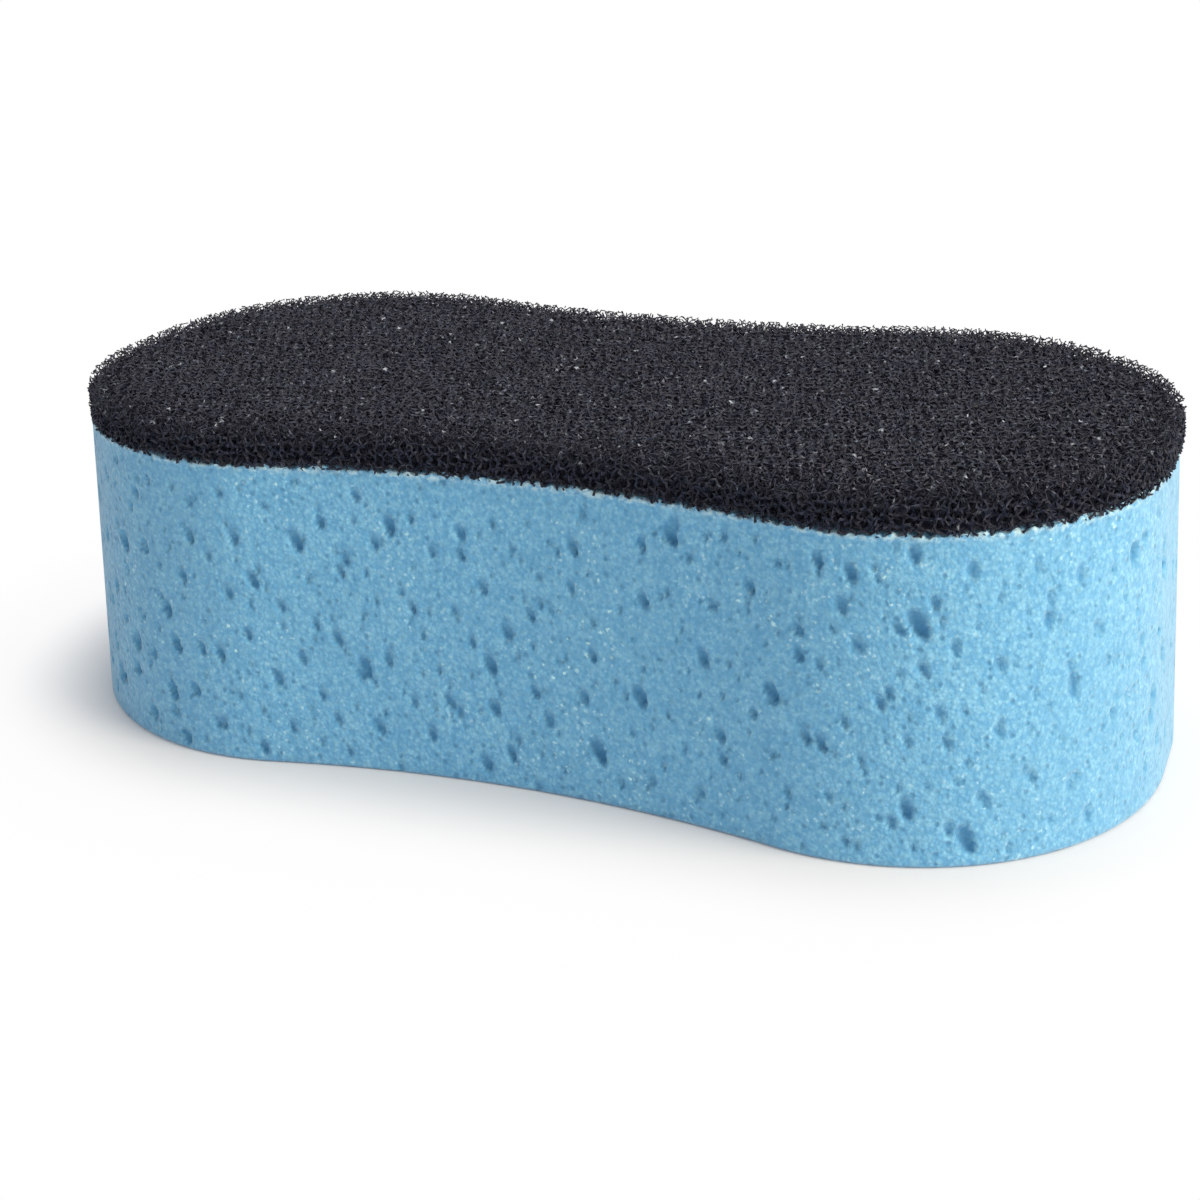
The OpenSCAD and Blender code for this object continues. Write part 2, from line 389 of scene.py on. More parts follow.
def foam_base(outline, s, columns, rings):
    """Base of the foam: rings that shrink from the outline to its middle line, with pits pushed up."""
    u = np.arange(columns) * outline.around / columns
    place, out = outline.at(u)
    rim = place - 1.4 * out
    w = (np.arange(rings) / rings)[:, None, None]
    middle = np.stack([0.55 * rim[:, 0], 0 * rim[:, 0]], -1)
    # The rings draw in towards a line along the middle, a little over half as long as the base
    flat = (rim[None] * (1 - w) + middle[None] * w).reshape(-1, 2)
    points = np.column_stack([flat, 0 * flat[:, 0]])
    down = np.tile([0.0, 0.0, -1.0], (len(points), 1))
    across = np.tile([1.0, 0.0, 0.0], (len(points), 1))
    deep = np.tile([0.0, 1.0, 0.0], (len(points), 1))
    pits = base_pits(outline, s)
    shift, owner = rim_shift(points, across, deep, pits, 0.5)
    points[:, :2] += shift
    depth = pit_depth(points, down, pits, owner)
    points[:, 2] += depth
    return points, depth, u


def pad_inset(s, x):
    """How far the pad's edge stands in from the base outline: a little more at the hand-cut left end."""
    return s["pad_inset"] + 0.5 * ramp(-x, 65, 95)


def core_profile(s):
    """Distance in from the pad's edge and height of the dark inside of the pad, from its foot to its top."""
    t = np.linspace(0, 1, 12)
    inset = s["foot"] + (s["shoulder"] - s["foot"]) * t
    return inset, s["height"] + (s["pad"] - s["skin"]) * ramp(t, -0.25, 1.0)


def core_height(s, inset):
    """Height of the pad's dark inside at a distance in from the pad's edge."""
    inset_at, height_at = core_profile(s)
    return np.interp(inset, inset_at, height_at, left=s["height"])


def cell_edges():
    """Edges in one box of packed fourteen-sided cells, as pairs of corners in quarters of the cell's size.

    The corners are the places whose three coordinates, counted round by four, are 0, 2 and an odd number in
    any order, and each joins the four others at the root of two.
    """
    grid = np.stack(np.meshgrid(*[np.arange(4)] * 3, indexing="ij"), -1).reshape(-1, 3)

    def corner(p):
        p = np.sort(np.where(p % 2 == 1, 1, p % 4), axis=-1)
        return (p == [0, 1, 2]).all(-1)

    base = grid[corner(grid)]
    steps = np.array([[1, 1, 0], [1, -1, 0], [1, 0, 1], [1, 0, -1], [0, 1, 1], [0, 1, -1]])
    a = np.repeat(base, len(steps), axis=0)
    b = a + np.tile(steps, (len(base), 1))
    keep = corner(b)
    return a[keep], b[keep]


def cell_boxes(outline, s, turn, mid):
    """Corners, in quarters of the cell's size, of the boxes of packed cells that lie in or near the pad.

    The packing is turned, so it starts wider and taller than the pad: by 4 mm, and 22 mm up and down.
    """
    cell = s["cell"]
    reach = np.ceil((np.hypot(outline.length / 2, outline.lobe + outline.cy) + 4) / cell)
    tall = np.ceil(22 / cell)
    i = np.arange(-reach, reach)
    j = np.arange(-tall, tall)
    boxes = np.stack(np.meshgrid(i, i, j, indexing="ij"), -1).reshape(-1, 3) * 4
    rough = boxes * cell / 4 @ turn.T
    rough[:, 2] += mid
    near = outline.inset(rough[:, 0], rough[:, 1]) > -2 * cell
    near &= np.abs(rough[:, 2] - mid) < s["pad"] / 2 + 2 * cell
    return boxes[near]


def tucked(outline, s, end, top):
    """Thread ends past the pad's edge drawn back to it, with a little fuzz, and some hung over the seam."""
    x, y = end[:, 0], end[:, 1]
    past = outline.inset(x, y) - pad_inset(s, x) - 0.12 * (1 + ripple(end, 2.0))
    # The way straight in from the edge is the slope of the distance inside the outline
    step = 0.01
    gx = (outline.inset(x + step, y) - outline.inset(x - step, y)) / (2 * step)
    gy = (outline.inset(x, y + step) - outline.inset(x, y - step)) / (2 * step)
    pull = np.maximum(-past - 0.4 * scattered(np.round(end, 1), 4.1) ** 2, 0)[:, None]
    end[:, :2] += pull * np.stack([gx, gy], -1)
    hang = 1.1 * ramp(past, 0.6, 0.0) * scattered(np.round(end, 1), 2.3) ** 2
    end[:, 2] = np.clip(end[:, 2], s["height"] - 0.1 - hang, top - 0.12 * (1 + ripple(end, 2.3, 1.0)))
    return end


def thread_net(outline, s):
    """Threads of the open-cell foam: the edges of packed fourteen-sided cells, shaken out of order.

    The packing is turned a little about each axis, so that none of its rows lies along the pad. A thread is
    kept where its middle lies in the pad and outside its core. Slow and broad ripples bend the rows, and the
    top rounds off at its rim. Returns the threads' two ends and half widths: they are fewer and slimmer along
    that rim, where the net is seen against the light.
    """
    turn = Matrix.Rotation(0.35, 3, "Z") @ Matrix.Rotation(0.11, 3, "X") @ Matrix.Rotation(0.08, 3, "Y")
    turn = np.array(turn)
    mid = s["height"] + s["pad"] / 2
    top = s["height"] + s["pad"]
    boxes = cell_boxes(outline, s, turn, mid)
    ends = []
    for corners in cell_edges():
        p = (boxes[:, None] + corners[None]).reshape(-1, 3)
        shake = np.stack([scattered(p, 0.1), scattered(p, 0.5), scattered(p, 0.9)], -1) - 0.5
        p = (p * s["cell"] / 4) @ turn.T
        p[:, 2] += mid
        slow = np.stack([ripple(p, 5.0), ripple(p, 5.5, 1.0), ripple(p, 6.0, 2.0)], -1)
        broad = np.stack([ripple(p, 12.0, 3.0), ripple(p, 13.0, 4.0), ripple(p, 14.0, 5.0)], -1)
        ends.append(p + s["shake"] * shake + 0.35 * slow + 0.8 * broad)
    first, last = ends
    middle = (first + last) / 2
    inset = outline.inset(middle[:, 0], middle[:, 1]) - pad_inset(s, middle[:, 0])
    z = middle[:, 2]
    keep = (inset > -0.12) & (z > core_height(s, inset) - 0.15) & (z > s["height"] - 0.1)
    keep &= z < top + 0.05 - 1.1 * ramp(inset, 2.2, -0.3) ** 2
    rim = ramp(inset, 9.0, 2.5) * ramp(z, top - 3.4, top - 1.6)
    keep &= scattered(middle, 3.3) > 0.4 * rim
    wide = s["thread"] * (1 - 0.48 * rim[keep])
    return tucked(outline, s, first[keep], top), tucked(outline, s, last[keep], top), wide


def threads(first, last, wide):
    """Slim four-faced threads, flat and wide at both ends, crosswise, so that they are thickest there."""
    run = last - first
    run /= np.maximum(np.linalg.norm(run, axis=1), 1e-6)[:, None]
    aside = np.cross(run, np.where(np.abs(run[:, 2:]) < 0.8, [[0.0, 0.0, 1.0]], [[1.0, 0.0, 0.0]]))
    aside /= np.linalg.norm(aside, axis=1)[:, None]
    twist = 2 * np.pi * scattered((first + last) / 2, 1.7)[:, None]
    side = np.cos(twist) * aside + np.sin(twist) * np.cross(run, aside)
    over = np.cross(run, side)
    first = first - 0.1 * run
    last = last + 0.1 * run
    side *= wide[:, None]
    over *= wide[:, None]
    points = np.stack([first - side, first + side, last - over, last + over], 1)
    faces = np.array([[0, 1, 3], [1, 0, 2], [2, 3, 1], [3, 2, 0]])
    start = 4 * np.arange(len(first))
    return points.reshape(-1, 3), (start[:, None, None] + faces[None]).reshape(-1, 3)


# Materials

class Nodes:
    """The node tree of a material or world, with short calls to add and join nodes."""

    def __init__(self, holder):
        self.holder = holder
        self.holder.use_nodes = True
        self.tree = self.holder.node_tree
        self.tree.nodes.clear()

    def add(self, kind, settings=None, **inputs):
        """A new node with its settings. Its inputs go by name, or by number as i0, i1 and so on."""
        node = self.tree.nodes.new("ShaderNode" + kind)
        for key, value in (settings or {}).items():
            setattr(node, key, value)
        for key, value in inputs.items():
            self.set(node, key.replace("_", " "), value)
        return node

    def set(self, node, key, value):
        """Joins a socket to an input, or writes a value in it."""
        socket = node.inputs[int(key[1:])] if key[0] == "i" and key[1:].isdigit() else node.inputs[key]
        if isinstance(value, bpy.types.NodeSocket):
            self.tree.links.new(value, socket)
        else:
            socket.default_value = value

    def math(self, operation, a, b=0.0, clamp=False):
        return self.add("Math", {"operation": operation, "use_clamp": clamp}, i0=a, i1=b).outputs[0]

    def between(self, value, low, high, to_low=0.0, to_high=1.0):
        """The value carried from one range to another along a smooth S."""
        node = self.add("MapRange", {"interpolation_type": "SMOOTHSTEP"}, Value=value)
        for key, bound in (("From Min", low), ("From Max", high), ("To Min", to_low), ("To Max", to_high)):
            self.set(node, key, bound)
        return node.outputs[0]

    def mix(self, share, a, b):
        """Colour a with a share of colour b."""
        return self.add("Mix", {"data_type": "RGBA"}, i0=share, i6=a, i7=b).outputs[2]

    def stirred(self, place, size, scale, detail):
        """The place, moved by up to about that size by noise, so that cells lose their round outlines."""
        noise = self.add("TexNoise", Vector=place, Scale=scale, Detail=detail).outputs["Color"]
        node = self.add("VectorMath", {"operation": "MULTIPLY_ADD"}, i0=noise, i1=(size,) * 3, i2=place)
        return node.outputs[0]

    def spots(self, cells, channel, least, inner, outer):
        """Soft round spots in some of the cells: those whose own random number passes least."""
        kind = self.add("SeparateColor", i0=cells.outputs["Color"]).outputs[channel]
        spot = self.between(cells.outputs["Distance"], inner, outer, 1.0, 0.0)
        return self.math("MULTIPLY", spot, self.math("GREATER_THAN", kind, least))

    def backdrop(self):
        """1 for what the camera sees, straight or through gloss and glass, and 0 for light on the object."""
        path = self.add("LightPath").outputs
        mirrored = self.math("MAXIMUM", path["Is Glossy Ray"], path["Is Transmission Ray"])
        return self.math("MAXIMUM", path["Is Camera Ray"], mirrored)


def linear(colour):
    """A colour written as it looks on a screen, as the light that it stands for."""
    c = np.array(colour[:3], float)
    c = np.where(c <= 0.04045, c / 12.92, ((c + 0.055) / 1.055) ** 2.4)
    return (*c, 1.0)


def foam_material(settings):
    """Cut face of fine soft foam: cell grain, small pores with painted shade in them, painted sparkles and
    glints on cut threads, painted shade deep in the pits, and a pale seam that is partly a painted highlight.

    The mesh gives two values: pit is 1 deep in a pit, where the colour is darkened as painted shade, and edge
    is 1 along the seam under the pad.
    """
    n = Nodes(bpy.data.materials.new("soft_foam_cut"))
    place = n.add("TexCoord").outputs["Object"]
    shaken = n.stirred(place, 0.0007, 420.0, 2.0)
    torn = n.stirred(place, 0.0008, 1700.0, 1.0)
    grain = n.add("TexVoronoi", Vector=shaken, Scale=1350.0).outputs["Distance"]
    tone = n.add("TexNoise", Vector=place, Scale=900.0, Detail=3.0, Roughness=0.65).outputs["Fac"]
    patch = n.add("TexNoise", Vector=place, Scale=60.0, Detail=3.0).outputs["Fac"]
    mottle = n.add("TexNoise", Vector=place, Scale=210.0, Detail=1.0).outputs["Fac"]
    cloud = n.add("TexNoise", Vector=place, Scale=28.0, Detail=2.0).outputs["Fac"]
    pit = n.add("Attribute", {"attribute_name": "pit"}).outputs["Fac"]
    edge = n.add("Attribute", {"attribute_name": "edge"}).outputs["Fac"]
    # The pits' colour: painted shade in the pits and pores, and the darker tone of the grain and mottle
    dark = linear(settings.pit_shade_and_grain_colour)
    pore = n.spots(n.add("TexVoronoi", Vector=shaken, Scale=600.0), 0, 0.6, 0.08, 0.4)
    # Painted sparkles: soft light spots where cut threads catch the light, fewer in pits and in some patches
    painted_sparkle = n.spots(n.add("TexVoronoi", Vector=torn, Scale=880.0), 1, 0.6, 0.08, 0.38)
    # Painted glints: the few brightest cut threads, where they catch the light
    painted_spark = n.spots(n.add("TexVoronoi", Vector=torn, Scale=700.0), 1, 0.905, 0.1, 0.32)
    clear = n.math("SUBTRACT", 1.0, pit)
    clear = n.math("MULTIPLY", clear, n.between(patch, 0.4, 0.6, 0.05, 1.0))
    painted_sparkle = n.math("MULTIPLY", n.math("MULTIPLY", painted_sparkle, clear), 0.7)
    # Pale frayed edge along the seam: partly frayed foam, partly a painted highlight where the top edge
    # catches the light
    frayed_seam_highlight = n.math("MULTIPLY", edge, n.between(tone, 0.42, 0.6, 0.1, 0.75))
    colour = n.mix(n.between(tone, 0.38, 0.64), linear(settings.colour), linear(settings.light_colour))
    colour = n.mix(n.between(grain, 0.05, 0.75, 0.0, 0.36), colour, dark)
    # Small pores darkened toward the pit colour: painted shade in the pores
    colour = n.mix(n.math("MULTIPLY", pore, 0.75), colour, dark)
    colour = n.mix(n.between(cloud, 0.35, 0.65, 0.0, 0.16), colour, linear(settings.cloud_colour))
    colour = n.mix(n.between(mottle, 0.4, 0.62, 0.0, 0.11), colour, dark)
    colour = n.mix(painted_sparkle, colour, linear(settings.painted_sparkle_colour))
    # Painted shade deep in the pits, from the pit depth
    colour = n.mix(n.math("MULTIPLY", pit, 0.66), colour, dark)
    colour = n.mix(frayed_seam_highlight, colour, linear(settings.frayed_seam_highlight_colour))
    colour = n.mix(n.math("MULTIPLY", painted_spark, clear), colour, linear(settings.painted_glint_colour))
    height = n.math("ADD", n.math("MULTIPLY", grain, -0.6), n.math("MULTIPLY", pore, -0.9))
    height = n.math("ADD", height, n.math("MULTIPLY", tone, 0.6))
    bump = n.add("Bump", Strength=0.42, Distance=0.0005, Height=height)
    shader = n.add("BsdfPrincipled", Base_Color=colour, Roughness=0.86, Normal=bump.outputs[0])
    shader.inputs["Specular IOR Level"].default_value = 0.15
    shader.inputs["Sheen Weight"].default_value = 0.6
    shader.inputs["Sheen Roughness"].default_value = 0.5
    shader.inputs["Sheen Tint"].default_value = (0.82, 0.93, 1.0, 1.0)
    n.set(n.add("OutputMaterial"), "Surface", shader.outputs[0])
    return n.holder


def thread_material(settings):
    """Slightly shiny dark threads, a little uneven in tone, with painted shade on the threads below the top,
    painted highlights on knots and a few painted glints, both stronger on the top.
    """
    n = Nodes(bpy.data.materials.new("scrub_threads"))
    place = n.add("TexCoord").outputs["Object"]
    tone = n.add("TexNoise", Vector=place, Scale=520.0, Detail=2.0).outputs["Fac"]
    high = n.add("SeparateXYZ", i0=place).outputs["Z"]
    # Painted glints on a few knots, stronger on the top where the light falls
    painted_knot_glint = n.spots(n.add("TexVoronoi", Vector=place, Scale=330.0), 0, 0.6, 0.06, 0.2)
    # Painted highlights on knots where they catch the light, stronger on the top
    painted_knot_highlight = n.spots(n.add("TexVoronoi", Vector=place, Scale=640.0), 1, 0.5, 0.08, 0.36)
    # Threads below the top are painted darker and bluer as shade, those on the top lighter as lit
    top = n.between(high, settings.lit_top_height - 0.003, settings.lit_top_height)
    painted_knot_highlight = n.math("MULTIPLY", painted_knot_highlight, n.math("ADD", 0.1, n.math("MULTIPLY", top, 0.2)))
    painted_knot_glint = n.math("MULTIPLY", painted_knot_glint, n.math("ADD", 0.35, n.math("MULTIPLY", top, 0.5)))
    colour = n.mix(top, linear(settings.shaded_side_thread_colour), linear(settings.lit_top_thread_colour))
    colour = n.mix(n.between(tone, 0.36, 0.62), linear(settings.dark_colour), colour)
    colour = n.mix(painted_knot_highlight, colour, linear(settings.painted_knot_highlight_colour))
    colour = n.mix(painted_knot_glint, colour, linear(settings.painted_glint_colour))
    fine = n.add("TexNoise", Vector=place, Scale=5000.0, Detail=1.0)
    bump = n.add("Bump", Strength=0.3, Distance=0.0001, Height=fine.outputs["Fac"])
    shader = n.add("BsdfPrincipled", Base_Color=colour, Roughness=0.55, Normal=bump.outputs[0])
    shader.inputs["Specular IOR Level"].default_value = 0.25
    n.set(n.add("OutputMaterial"), "Surface", shader.outputs[0])
    return n.holder


def core_material(settings):
    """Deep inside of the pad: near black, with the net of the next layer of threads showing faintly."""
    n = Nodes(bpy.data.materials.new("scrub_depth"))
    place = n.add("TexCoord").outputs["Object"]
    cells = n.add("TexVoronoi", {"feature": "DISTANCE_TO_EDGE"}, Vector=place, Scale=760.0)
    net = n.between(cells.outputs["Distance"], 0.03, 0.16, 1.0, 0.0)
    colour = n.mix(net, linear(settings.deep_colour), linear(settings.deep_thread_colour))
    bump = n.add("Bump", Strength=1.0, Distance=0.0006, Height=net)
    shader = n.add("BsdfPrincipled", Base_Color=colour, Roughness=0.55, Normal=bump.outputs[0])
    shader.inputs["Specular IOR Level"].default_value = 0.25
    n.set(n.add("OutputMaterial"), "Surface", shader.outputs[0])
    return n.holder


def floor_material(settings):
    """White floor that keeps a soft shadow round the sponge where the camera sees it.

    The share of plain white grows with the distance from the sponge, taken as a bar with round ends. Close to
    the sponge the floor is greyer even where it is lit: painted shade round the sponge, on top of its real
    shadow.
    """
    n = Nodes(bpy.data.materials.new("floor_white"))
    place = n.add("TexCoord").outputs["Object"]
    tone = n.add("TexNoise", Vector=place, Scale=9.0).outputs["Fac"]
    white = n.mix(n.between(tone, 0.3, 0.7), (0.80, 0.81, 0.83, 1), (0.82, 0.83, 0.85, 1))
    lit = n.add("BsdfDiffuse", Color=white)
    glow = n.add("Emission", Strength=1.0)
    apart = n.add("SeparateXYZ", i0=place).outputs
    beyond = n.math("SUBTRACT", n.math("ABSOLUTE", apart["X"]), 0.052)
    beyond = n.math("POWER", n.math("MAXIMUM", beyond, 0.0), 2.0)
    reach = n.math("SQRT", n.math("ADD", beyond, n.math("POWER", apart["Y"], 2.0)))
    # Less plain white close to the sponge: painted shade round it, on top of its real shadow
    share = n.between(reach, 0.046, 0.072, settings.floor_glow, 0.88)
    share = n.math("ADD", share, n.between(reach, 0.056, 0.105, 0.0, 0.12), True)
    share = n.math("MULTIPLY", n.backdrop(), share)
    both = n.add("MixShader", i0=share, i1=lit.outputs[0], i2=glow.outputs[0])
    n.set(n.add("OutputMaterial"), "Surface", both.outputs[0])
    return n.holder


def room(settings):
    """World with a white background, and plain soft light from all round for the object."""
    n = Nodes(bpy.data.worlds.new("plain_room"))
    light = n.add("Background", Color=(1, 1, 1, 1), Strength=settings.room_light)
    white = n.add("Background", Color=(1, 1, 1, 1), Strength=1.0)
    both = n.add("MixShader", i0=n.backdrop(), i1=light.outputs[0], i2=white.outputs[0])
    n.set(n.add("OutputWorld"), "Surface", both.outputs[0])
    return n.holder


# Settings

def metres(name, text, default):
    return bpy.props.FloatProperty(name=name, description=text, default=default, unit="LENGTH", precision=4)


def paint(name, text, default):
    """A colour, written as it looks on a screen."""
    return bpy.props.FloatVectorProperty(
        name=name, description=text, default=default, subtype="COLOR_GAMMA", size=3, min=0, max=1
    )


def number(name, text, default):
    return bpy.props.FloatProperty(name=name, description=text, default=default)


def degrees(name, text, default):
    return bpy.props.FloatProperty(name=name, description=text, default=np.radians(default), subtype="ANGLE")


def watts(name, text, default):
    return bpy.props.FloatProperty(name=name, description=text, default=default, unit="POWER")


class FoamSettings(bpy.types.PropertyGroup):
    """Sizes and colours of the soft foam."""

    length: metres("Length", "Length over the lobes, at the base", FOAM_BOX[1][0] - FOAM_BOX[0][0])
    width: metres("Width", "Width over the lobes, at the base", FOAM_BOX[1][1] - FOAM_BOX[0][1])
    height: metres("Height", "Height of the soft foam", PAD_BOX[0][2])
    waist_dip: metres("Waist dip", "How far each long side dips in at the waist", 0.006)
    end_flat: metres("Straight end", "Length of the straight stretch in the middle of each end", 0.010)
    side_lean: metres("Side lean", "How far each side leans in from the base to the top", 0.002)
    pit_pitch: metres("Pit pitch", "Mean distance between the large pits round the sides", 0.013)
    base_pitch: metres("Base pit pitch", "Mean distance between the pits in the base", 0.017)
    pit_min: metres("Smallest large pit", "Diameter of the smallest of the large pits", 0.0016)
    pit_max: metres("Largest pit", "Diameter of the largest pits", 0.003)
    pit_stretch: number("Pit stretch", "Length of a large pit as a multiple of its diameter", 2.2)
    pit_margin: metres("Plain band", "Width of the band along each edge that has no large pits", 0.005)
    rise_lean: degrees("Rise lean", "Angle between the long pits and the vertical", 22)
    colour: paint("Foam", "Colour of the cut foam", (0.445, 0.724, 0.905))
    light_colour: paint("Foam light", "Colour of the foam's lighter grain", (0.585, 0.835, 0.96))
    cloud_colour: paint("Foam cloud", "Colour of the broad, faint patches", (0.45, 0.69, 0.83))
    # Painted shade deep in the pits and pores, and the darker tone of the grain and mottle
    pit_shade_and_grain_colour: paint("Pit", "Colour deep in the pits", (0.3, 0.565, 0.74))
    # Painted highlight: colour of the sparkles where cut threads catch the light
    painted_sparkle_colour: paint("Bright", "Colour of the cut threads that catch the light", (0.74, 0.92, 1.0))
    # Painted glint: colour of the few brightest cut threads
    painted_glint_colour: paint("Glint", "Colour of the few brightest cut threads", (0.76, 0.95, 1.0))
    # Pale seam: partly frayed foam, partly a painted highlight where the edge catches the light
    frayed_seam_highlight_colour: paint("Pale", "Colour of the frayed edge along the seam", (0.83, 0.94, 0.97))


class PadSettings(bpy.types.PropertyGroup):
    """Sizes and colours of the scrub pad."""

    thickness: metres("Thickness", "Thickness of the scrub pad", PAD_BOX[1][2] - PAD_BOX[0][2])
    inset: metres("Inset", "How far the pad's edge stands in from the base outline", 0.0015)
    cell: metres("Cell", "Size of the open cells", 0.0019)
    shake: metres("Shake", "How far the corners of the cells may stray from their even places", 0.00066)
    thread: metres("Thread", "Half the width of a thread where threads meet", 0.00028)
    skin: metres("Open depth", "Depth of open threads over the dark inside of the pad", 0.0011)
    shoulder: metres("Open edge", "Width of the see-through edge at the top of the pad", 0.009)
    foot: metres("Open foot", "Width of the see-through edge at the foot of the pad", 0.0007)
    # Threads below this height get the painted shade of the side colour
    lit_top_height: metres("Side top", "Height from which the threads have the colour of the top", 0.0602)
    # Lit copy of the thread colour, painted on the pad's top
    lit_top_thread_colour: paint("Threads", "Colour of the threads in the pad's top", (0.186, 0.2, 0.256))
    # Shaded copy of the thread colour, painted on the cut edge and the lower threads
    shaded_side_thread_colour: paint("Side threads", "Colour of the threads in the cut edge", (0.136, 0.158, 0.232))
    dark_colour: paint("Dark", "Colour of the darkest threads", (0.15, 0.152, 0.195))
    # Painted highlight: colour of the knots that catch the light
    painted_knot_highlight_colour: paint("Knots", "Colour of the knots that catch the light", (0.71, 0.75, 0.82))
    # Painted glint: colour of the few brightest knots
    painted_glint_colour: paint("Glint", "Colour of the few brightest knots", (0.76, 0.8, 0.85))
    deep_colour: paint("Deep", "Colour of the inside of the pad", (0.23, 0.235, 0.29))
    deep_thread_colour: paint("Deep threads", "Colour of the threads deep in the pad", (0.27, 0.275, 0.33))


class StageSettings(bpy.types.PropertyGroup):
    """Light, floor and camera."""

    room_light: number("Room light", "Strength of the light from all round", 0.448)
    key_light: watts("Key light", "Power of the lamp on the right", 12.8)
    top_light: watts("Top light", "Power of the lamp overhead", 4.0)
    # Close to the sponge the floor is less white: painted shade round the sponge
    floor_glow: number("Floor white", "Share of the floor that stays white close to the sponge", 0.05)
    distance: metres("Camera distance", "Distance from the camera to the point it aims at", 0.35926)
    azimuth: degrees("Azimuth", "Turn of the camera round the sponge", 22.765)
    elevation: degrees("Elevation", "Height of the camera as an angle", 18.237)
    roll: degrees("Roll", "Roll of the camera", -1.837)
    lens: bpy.props.FloatProperty(
        name="Lens", description="Focal length on a 36 mm sensor", default=59.537, unit="CAMERA"
    )
    aim: bpy.props.FloatVectorProperty(
        name="Aim", description="Point that the camera aims at", size=3, default=(-0.0023, 0.0, 0.044956),
        subtype="TRANSLATION",
    )
    shift: number("Shift", "Upright shift of the picture", -0.12)


def sizes_of(scene):
    """The settings in millimetres and degrees, as the formulas use them."""
    foam = scene.sponge_foam
    pad = scene.sponge_pad
    return {
        "height": foam.height / MM, "lean": foam.side_lean / MM, "margin": foam.pit_margin / MM,
        "pit_pitch": foam.pit_pitch / MM, "base_pitch": foam.base_pitch / MM,
        "pit_min": foam.pit_min / MM, "pit_max": foam.pit_max / MM,
        "stretch": foam.pit_stretch, "rise": np.degrees(foam.rise_lean),
        "pad": pad.thickness / MM, "pad_inset": pad.inset / MM,
        "cell": pad.cell / MM, "shake": pad.shake / MM, "thread": pad.thread / MM,
        "skin": pad.skin / MM, "shoulder": pad.shoulder / MM, "foot": pad.foot / MM,
    }


def outline_of(scene):
    """The outline of the base from the settings, in millimetres."""
    foam = scene.sponge_foam
    return Outline(foam.length / MM, foam.width / MM, foam.waist_dip / MM, foam.end_flat / MM)


# Operators

class SPONGE_OT_foam_body(bpy.types.Operator):
    """Make the block of soft foam with its open pits"""

    bl_idname = "sponge.foam_body"
    bl_label = "Foam body"

    def execute(self, context):
        s = sizes_of(context.scene)
        outline = outline_of(context.scene)
        side, side_depth, u = foam_side(outline, s, SIDE_COLUMNS, SIDE_ROWS)
        base, base_depth, base_u = foam_base(outline, s, BASE_COLUMNS, BASE_RINGS)
        points = np.concatenate([side, base])
        walls = grid_faces(SIDE_ROWS, SIDE_COLUMNS)
        lid = bridge_faces(SIDE_COLUMNS) + (SIDE_ROWS - 1) * SIDE_COLUMNS
        under = grid_faces(BASE_RINGS, BASE_COLUMNS)[:, ::-1] + len(side)
        middle = bridge_faces(BASE_COLUMNS)[:, ::-1] + len(side) + (BASE_RINGS - 1) * BASE_COLUMNS
        seam = zip_faces(u, base_u)[:, ::-1]
        seam = np.where(seam >= SIDE_COLUMNS, seam - SIDE_COLUMNS + len(side), seam)
        # Pit depth, which the material turns into painted shade deep in the pits
        pit = ramp(np.concatenate([side_depth, base_depth]), 0.0, 1.3)
        # Band along the seam that the material paints pale: frayed foam and partly a painted highlight
        edge = np.concatenate([ramp(side[:, 2], s["height"] - 1.1, s["height"] - 0.2), 0 * base_depth])
        piece = mesh_piece("soft_foam_block", points, [walls, lid, under, middle, seam], True,
                           {"pit": pit, "edge": edge})
        piece.data.materials.append(foam_material(context.scene.sponge_foam))
        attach(piece, "root")
        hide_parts("foam_body")
        return {"FINISHED"}


class SPONGE_OT_scrub_pad(bpy.types.Operator):
    """Make the scrub pad: its dark inside and the net of threads over it"""

    bl_idname = "sponge.scrub_pad"
    bl_label = "Scrub pad"

    def execute(self, context):
        s = sizes_of(context.scene)
        outline = outline_of(context.scene)
        inset, z = core_profile(s)
        place, out = outline.at(np.arange(CORE_COLUMNS) * outline.around / CORE_COLUMNS)
        edge = pad_inset(s, place[:, 0])[None, :, None] + inset[:, None, None]
        ring = place[None] - out[None] * edge
        points = np.concatenate([ring, np.broadcast_to(z[:, None, None], ring.shape[:2] + (1,))], -1)
        points = points.reshape(-1, 3)
        low = bridge_faces(CORE_COLUMNS)[:, ::-1]
        lid = bridge_faces(CORE_COLUMNS) + (len(z) - 1) * CORE_COLUMNS
        core = mesh_piece("scrub_pad_core", points, [grid_faces(len(z), CORE_COLUMNS), low, lid])
        core.data.materials.append(core_material(context.scene.sponge_pad))
        pieces = [core]
        first, last, wide = thread_net(outline, s)
        material = thread_material(context.scene.sponge_pad)
        x = (first[:, 0] + last[:, 0]) / 2
        parts = int(np.ceil(len(x) * THREAD_FACES / NET_FACES))
        marks = np.quantile(x, np.linspace(0, 1, parts + 1))
        for part in range(parts):
            own = (x >= marks[part]) & ((x < marks[part + 1]) | (part == parts - 1))
            net, faces = threads(first[own], last[own], wide[own])
            piece = mesh_piece(f"scrub_pad_net_{part + 1}", net, [faces], False)
            piece.data.materials.append(material)
            pieces.append(piece)
        for piece in pieces:
            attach(piece, "root")
            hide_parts("scrub_pad")
        return {"FINISHED"}


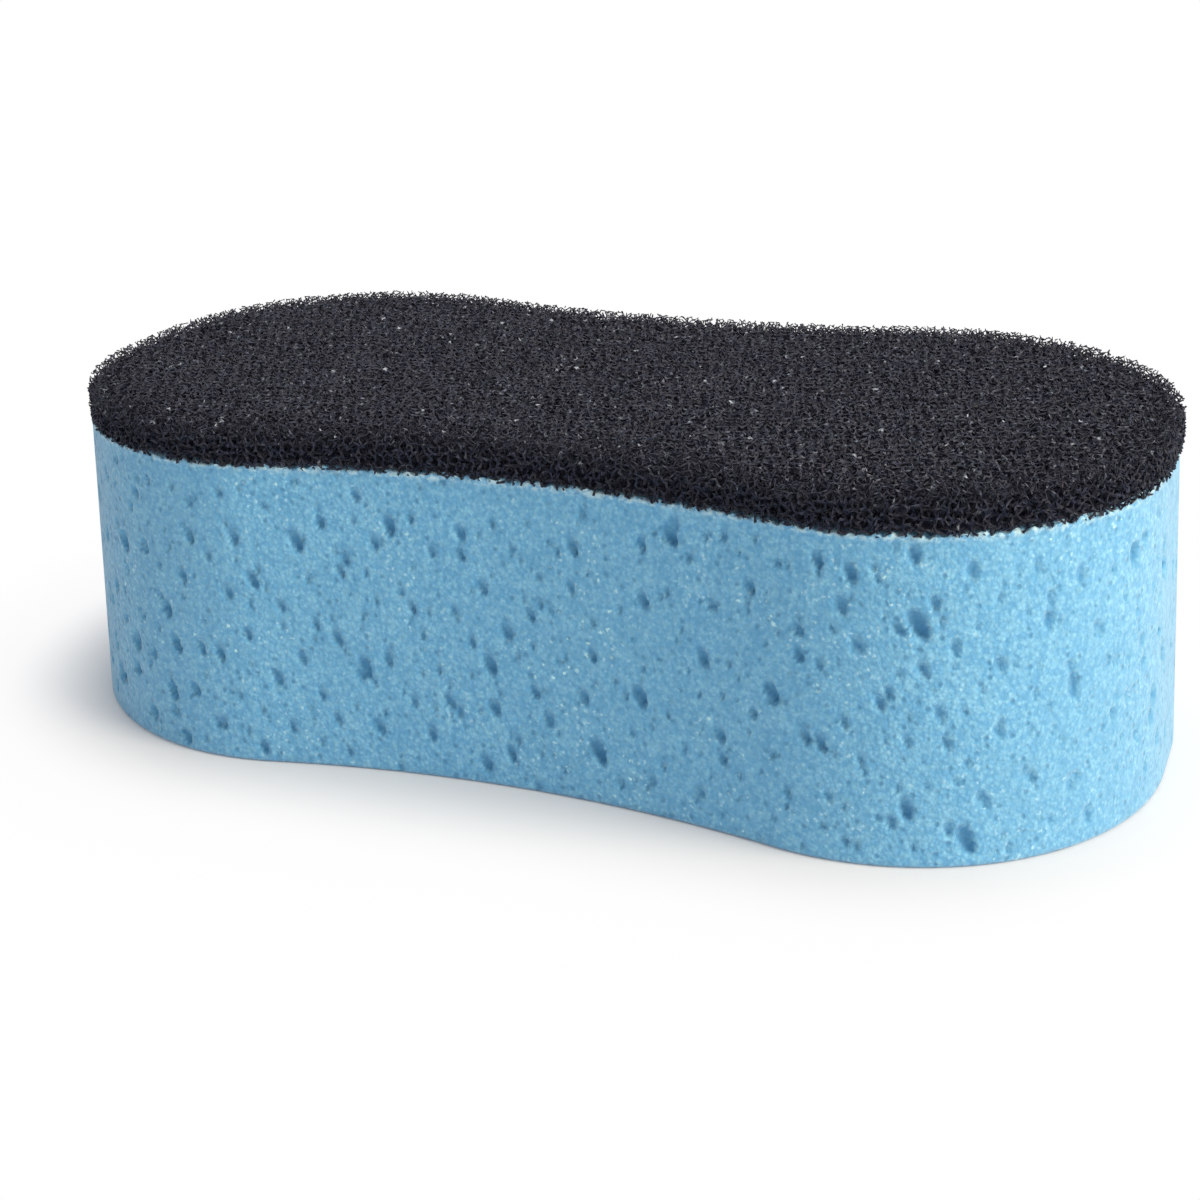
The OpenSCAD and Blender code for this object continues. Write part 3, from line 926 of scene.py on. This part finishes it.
class SPONGE_OT_stage(bpy.types.Operator):
    """Make the floor, the lights and the camera"""

    bl_idname = "sponge.stage"
    bl_label = "Stage"

    def execute(self, context):
        scene = context.scene
        settings = scene.sponge_stage
        corners = np.array([[-1, -1, 0], [1, -1, 0], [1, 1, 0], [-1, 1, 0]]) * FLOOR_REACH
        corners[:, 2] = FLOOR_HEIGHT
        floor = mesh_piece("floor", corners, [np.array([[0, 1, 2, 3]])], False)
        floor.data.materials.append(floor_material(settings))
        scene.world = room(settings)
        # Name, power, tint, width and place of each lamp
        lamps = (
            ("key_lamp", settings.key_light, (1.0, 0.88, 0.72), 0.7, Vector((0.97, -0.12, 0.66))),
            ("top_lamp", settings.top_light, (1.0, 1.0, 1.0), 0.9, Vector((0.1, 0.25, 1.1))),
        )
        for name, power, tint, size, place in lamps:
            lamp = bpy.data.lights.new(name, "AREA")
            lamp.shape = "DISK"
            lamp.size = size
            lamp.energy = power
            lamp.color = tint
            holder = bpy.data.objects.new(name, lamp)
            turn = (Vector((0, 0, 0.03)) - place).to_track_quat("-Z", "Y")
            holder.matrix_world = Matrix.Translation(place) @ turn.to_matrix().to_4x4()
            scene.collection.objects.link(holder)
        lens = bpy.data.cameras.new("camera")
        lens.sensor_width = 36.0
        lens.lens = settings.lens
        lens.shift_y = settings.shift
        lens.clip_start = 0.01
        lens.clip_end = 50.0
        # The camera looks at the aim from that azimuth and elevation, and rolls about its own view
        az = settings.azimuth
        el = settings.elevation
        back = Vector((np.sin(az) * np.cos(el), -np.cos(az) * np.cos(el), np.sin(el)))
        right = Vector((0, 0, 1)).cross(back).normalized()
        up = back.cross(right)
        turned = Matrix.Rotation(settings.roll, 3, back)
        right = turned @ right
        up = turned @ up
        camera = bpy.data.objects.new("camera", lens)
        rotation = Matrix((right, up, back)).transposed().to_4x4()
        camera.matrix_world = Matrix.Translation(Vector(settings.aim) + back * settings.distance) @ rotation
        scene.collection.objects.link(camera)
        scene.camera = camera
        scene.view_settings.view_transform = "Standard"
        return {"FINISHED"}


class SPONGE_PT_panel(bpy.types.Panel):
    """Sidebar panel with the sponge's settings and operators"""

    bl_label = "Wash sponge"
    bl_idname = "SPONGE_PT_panel"
    bl_space_type = "VIEW_3D"
    bl_region_type = "UI"
    bl_category = "Sponge"

    def draw(self, context):
        for group, operator in (
            ("sponge_foam", "sponge.foam_body"),
            ("sponge_pad", "sponge.scrub_pad"),
            ("sponge_stage", "sponge.stage"),
        ):
            box = self.layout.box()
            settings = getattr(context.scene, group)
            for key in settings.bl_rna.properties.keys():
                if key not in ("rna_type", "name"):
                    box.prop(settings, key)
            box.operator(operator)


CLASSES = (
    FoamSettings, PadSettings, StageSettings, SPONGE_OT_foam_body, SPONGE_OT_scrub_pad, SPONGE_OT_stage,
    SPONGE_PT_panel,
)


def register():
    for item in CLASSES:
        bpy.utils.register_class(item)
    bpy.types.Scene.sponge_foam = bpy.props.PointerProperty(type=FoamSettings)
    bpy.types.Scene.sponge_pad = bpy.props.PointerProperty(type=PadSettings)
    bpy.types.Scene.sponge_stage = bpy.props.PointerProperty(type=StageSettings)


def unregister():
    del bpy.types.Scene.sponge_stage
    del bpy.types.Scene.sponge_pad
    del bpy.types.Scene.sponge_foam
    for item in reversed(CLASSES):
        bpy.utils.unregister_class(item)


def main():
    register()
    bpy.ops.sponge.foam_body()
    bpy.ops.sponge.scrub_pad()
    bpy.ops.sponge.stage()


if __name__ == "__main__":
    main()
